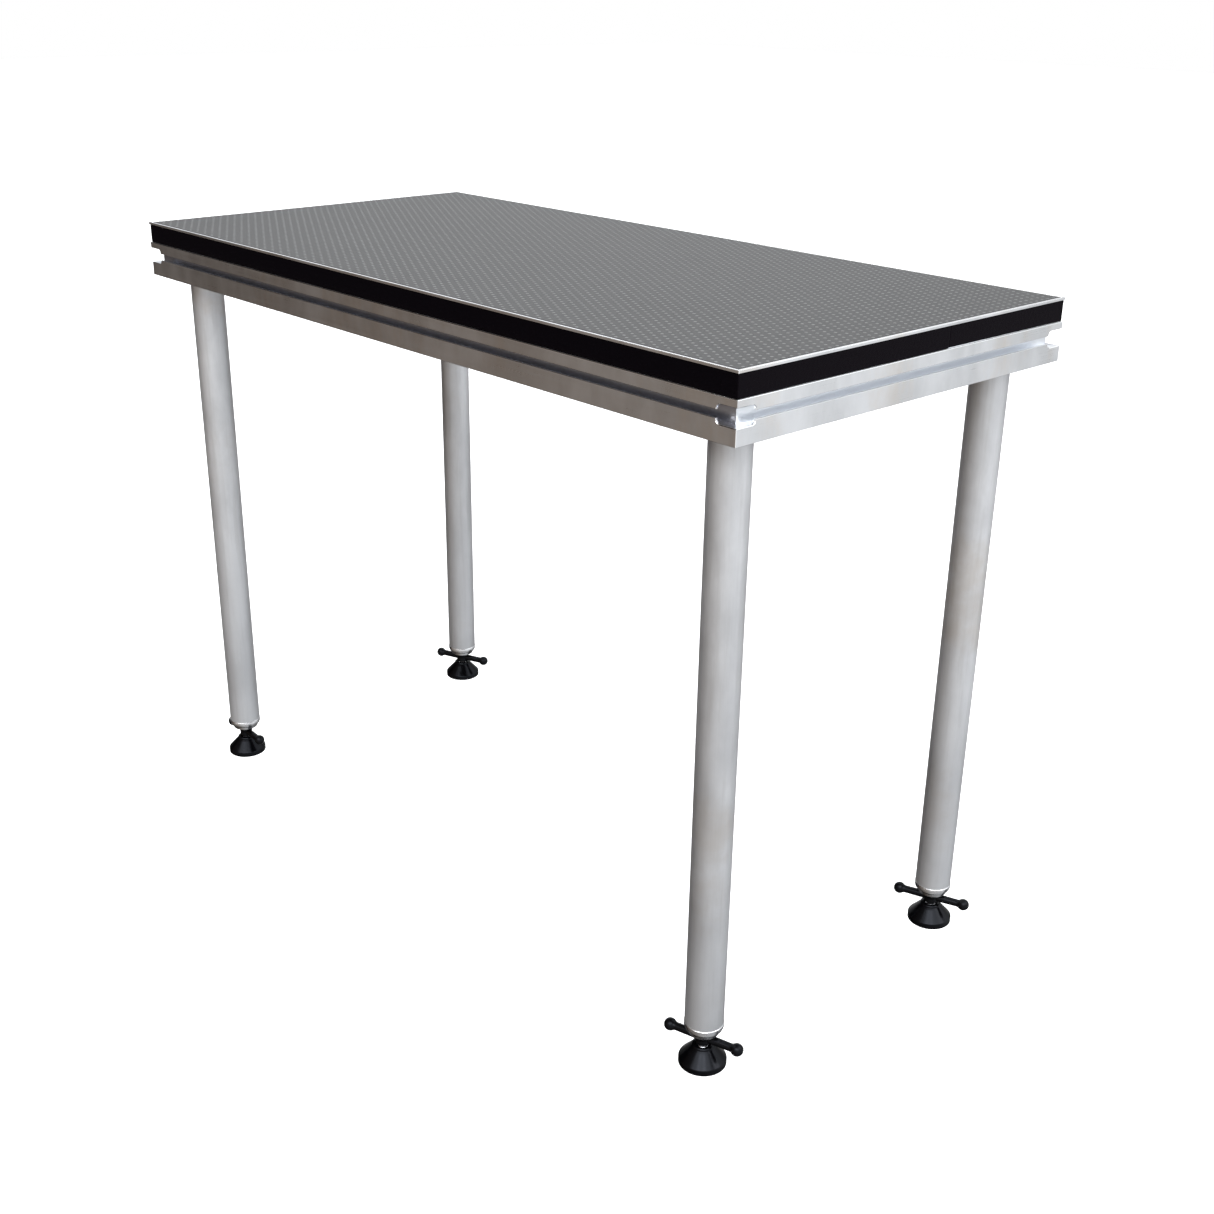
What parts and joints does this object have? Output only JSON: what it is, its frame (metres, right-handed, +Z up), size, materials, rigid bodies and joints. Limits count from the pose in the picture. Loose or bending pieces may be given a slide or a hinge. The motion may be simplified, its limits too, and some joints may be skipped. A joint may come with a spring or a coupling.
{
  "type": "stage riser platform",
  "caption": "Framed rectangular stage deck with a dotted anti-slip board, a loop-tape band and T-slot around its edge, on round plug-in legs with screw-adjusted swivel feet.",
  "frame": {"origin": "on the floor, under the centre of the deck", "axes": "+X along the long sides, towards the right side; +Y along the short sides, towards the back; +Z up"},
  "size_m": [1.5, 0.72, 1.108],
  "materials": {
    "board": "birch plywood faced with grey dotted anti-slip phenolic film",
    "frame": "mill-finish extrusion, satin",
    "tape": "black loop pile",
    "seal": "matt black",
    "cast": "sand cast",
    "brace": "mill finish",
    "tube": "drawn tube, satin",
    "turned": "turned, bright",
    "brass": "turned",
    "steel": "zinc plated",
    "spindle": "rolled thread, zinc plated",
    "ball": "polished",
    "handle": "black glass-filled nylon, satin",
    "knob": "black thermoplastic",
    "foot": "black nylon, semi-gloss",
    "pad": "matt black"
  },
  "bodies": {
    "deck": {"deck_board": "board", "board_screws": "steel", "board_seal": "seal", "rail_front": "frame", "rail_back": "frame", "rail_left": "frame", "rail_right": "frame", "loop_tape": "tape", "corner_cleats": "cast", "cleat_screws": "steel", "socket_bolts": "steel", "cross_brace_left": "brace", "cross_brace_right": "brace", "brace_brackets": "brace", "brace_bolts": "steel", "leg_socket_front_left": "cast", "leg_socket_front_right": "cast", "leg_socket_back_left": "cast", "leg_socket_back_right": "cast"},
    "leg_front_left": {"leg_tube_front_left": "tube", "end_cap_front_left": "turned", "spindle_nut_front_left": "brass"},
    "swivel_front_left": {"swivel_ball_front_left": "ball"},
    "spindle_front_left": {"spindle_front_left": "spindle", "t_handle_front_left": "handle"},
    "foot_front_left": {"foot_base_front_left": "foot", "foot_pad_front_left": "pad"},
    "clamp_pad_front_left": {"clamp_pad_front_left": "brass"},
    "clamp_screw_front_left": {"clamp_screw_front_left": "knob"},
    "leg_front_right": {"leg_tube_front_right": "tube", "end_cap_front_right": "turned", "spindle_nut_front_right": "brass"},
    "swivel_front_right": {"swivel_ball_front_right": "ball"},
    "spindle_front_right": {"spindle_front_right": "spindle", "t_handle_front_right": "handle"},
    "foot_front_right": {"foot_base_front_right": "foot", "foot_pad_front_right": "pad"},
    "clamp_pad_front_right": {"clamp_pad_front_right": "brass"},
    "clamp_screw_front_right": {"clamp_screw_front_right": "knob"},
    "leg_back_left": {"leg_tube_back_left": "tube", "end_cap_back_left": "turned", "spindle_nut_back_left": "brass"},
    "swivel_back_left": {"swivel_ball_back_left": "ball"},
    "spindle_back_left": {"spindle_back_left": "spindle", "t_handle_back_left": "handle"},
    "foot_back_left": {"foot_base_back_left": "foot", "foot_pad_back_left": "pad"},
    "clamp_pad_back_left": {"clamp_pad_back_left": "brass"},
    "clamp_screw_back_left": {"clamp_screw_back_left": "knob"},
    "leg_back_right": {"leg_tube_back_right": "tube", "end_cap_back_right": "turned", "spindle_nut_back_right": "brass"},
    "swivel_back_right": {"swivel_ball_back_right": "ball"},
    "spindle_back_right": {"spindle_back_right": "spindle", "t_handle_back_right": "handle"},
    "foot_back_right": {"foot_base_back_right": "foot", "foot_pad_back_right": "pad"},
    "clamp_pad_back_right": {"clamp_pad_back_right": "brass"},
    "clamp_screw_back_right": {"clamp_screw_back_right": "knob"}
  },
  "joints": [
    {"name": "front_left_leg_out", "type": "slide", "parent": "deck", "child": "leg_front_left", "axis": [0, 0, -1], "range_m": [0, 0.09]},
    {"name": "front_left_foot_height", "type": "slide", "parent": "leg_front_left", "child": "swivel_front_left", "axis": [0, 0, -1], "range_m": [-0.002, 0.06]},
    {"name": "front_left_handle_turn", "type": "hinge", "parent": "swivel_front_left", "child": "spindle_front_left", "pos_m": [-0.678, -0.29, 0.0465], "axis": [0, 0, -1], "range_deg": [-180, 5400]},
    {"name": "front_left_foot_tilt", "type": "hinge", "parent": "swivel_front_left", "child": "foot_front_left", "pos_m": [-0.678, -0.29, 0.0235], "axis": [1, 0, 0], "range_deg": [-6, 6]},
    {"name": "front_left_clamp_travel", "type": "slide", "parent": "deck", "child": "clamp_pad_front_left", "axis": [1, 0, 0], "range_m": [0, 0.00225]},
    {"name": "front_left_clamp_turn", "type": "hinge", "parent": "clamp_pad_front_left", "child": "clamp_screw_front_left", "pos_m": [-0.608, -0.29, 1.046], "axis": [1, 0, 0], "range_deg": [0, 540]},
    {"name": "front_right_leg_out", "type": "slide", "parent": "deck", "child": "leg_front_right", "axis": [0, 0, -1], "range_m": [0, 0.09]},
    {"name": "front_right_foot_height", "type": "slide", "parent": "leg_front_right", "child": "swivel_front_right", "axis": [0, 0, -1], "range_m": [-0.002, 0.06]},
    {"name": "front_right_handle_turn", "type": "hinge", "parent": "swivel_front_right", "child": "spindle_front_right", "pos_m": [0.678, -0.29, 0.0465], "axis": [0, 0, -1], "range_deg": [-180, 5400]},
    {"name": "front_right_foot_tilt", "type": "hinge", "parent": "swivel_front_right", "child": "foot_front_right", "pos_m": [0.678, -0.29, 0.0235], "axis": [1, 0, 0], "range_deg": [-6, 6]},
    {"name": "front_right_clamp_travel", "type": "slide", "parent": "deck", "child": "clamp_pad_front_right", "axis": [-1, 0, 0], "range_m": [0, 0.00225]},
    {"name": "front_right_clamp_turn", "type": "hinge", "parent": "clamp_pad_front_right", "child": "clamp_screw_front_right", "pos_m": [0.608, -0.29, 1.046], "axis": [-1, 0, 0], "range_deg": [0, 540]},
    {"name": "back_left_leg_out", "type": "slide", "parent": "deck", "child": "leg_back_left", "axis": [0, 0, -1], "range_m": [0, 0.09]},
    {"name": "back_left_foot_height", "type": "slide", "parent": "leg_back_left", "child": "swivel_back_left", "axis": [0, 0, -1], "range_m": [-0.002, 0.06]},
    {"name": "back_left_handle_turn", "type": "hinge", "parent": "swivel_back_left", "child": "spindle_back_left", "pos_m": [-0.678, 0.29, 0.0465], "axis": [0, 0, -1], "range_deg": [-180, 5400]},
    {"name": "back_left_foot_tilt", "type": "hinge", "parent": "swivel_back_left", "child": "foot_back_left", "pos_m": [-0.678, 0.29, 0.0235], "axis": [1, 0, 0], "range_deg": [-6, 6]},
    {"name": "back_left_clamp_travel", "type": "slide", "parent": "deck", "child": "clamp_pad_back_left", "axis": [1, 0, 0], "range_m": [0, 0.00225]},
    {"name": "back_left_clamp_turn", "type": "hinge", "parent": "clamp_pad_back_left", "child": "clamp_screw_back_left", "pos_m": [-0.608, 0.29, 1.046], "axis": [1, 0, 0], "range_deg": [0, 540]},
    {"name": "back_right_leg_out", "type": "slide", "parent": "deck", "child": "leg_back_right", "axis": [0, 0, -1], "range_m": [0, 0.09]},
    {"name": "back_right_foot_height", "type": "slide", "parent": "leg_back_right", "child": "swivel_back_right", "axis": [0, 0, -1], "range_m": [-0.002, 0.06]},
    {"name": "back_right_handle_turn", "type": "hinge", "parent": "swivel_back_right", "child": "spindle_back_right", "pos_m": [0.678, 0.29, 0.0465], "axis": [0, 0, -1], "range_deg": [-180, 5400]},
    {"name": "back_right_foot_tilt", "type": "hinge", "parent": "swivel_back_right", "child": "foot_back_right", "pos_m": [0.678, 0.29, 0.0235], "axis": [1, 0, 0], "range_deg": [-6, 6]},
    {"name": "back_right_clamp_travel", "type": "slide", "parent": "deck", "child": "clamp_pad_back_right", "axis": [-1, 0, 0], "range_m": [0, 0.00225]},
    {"name": "back_right_clamp_turn", "type": "hinge", "parent": "clamp_pad_back_right", "child": "clamp_screw_back_right", "pos_m": [0.608, 0.29, 1.046], "axis": [-1, 0, 0], "range_deg": [0, 540]}
  ],
  "couplings": [
    {"joint": "front_left_handle_turn", "follows": "front_left_foot_height", "rad_per_m": 1570.8},
    {"joint": "front_left_clamp_turn", "follows": "front_left_clamp_travel", "rad_per_m": 4188.8},
    {"joint": "front_right_handle_turn", "follows": "front_right_foot_height", "rad_per_m": 1570.8},
    {"joint": "front_right_clamp_turn", "follows": "front_right_clamp_travel", "rad_per_m": 4188.8},
    {"joint": "back_left_handle_turn", "follows": "back_left_foot_height", "rad_per_m": 1570.8},
    {"joint": "back_left_clamp_turn", "follows": "back_left_clamp_travel", "rad_per_m": 4188.8},
    {"joint": "back_right_handle_turn", "follows": "back_right_foot_height", "rad_per_m": 1570.8},
    {"joint": "back_right_clamp_turn", "follows": "back_right_clamp_travel", "rad_per_m": 4188.8}
  ]
}
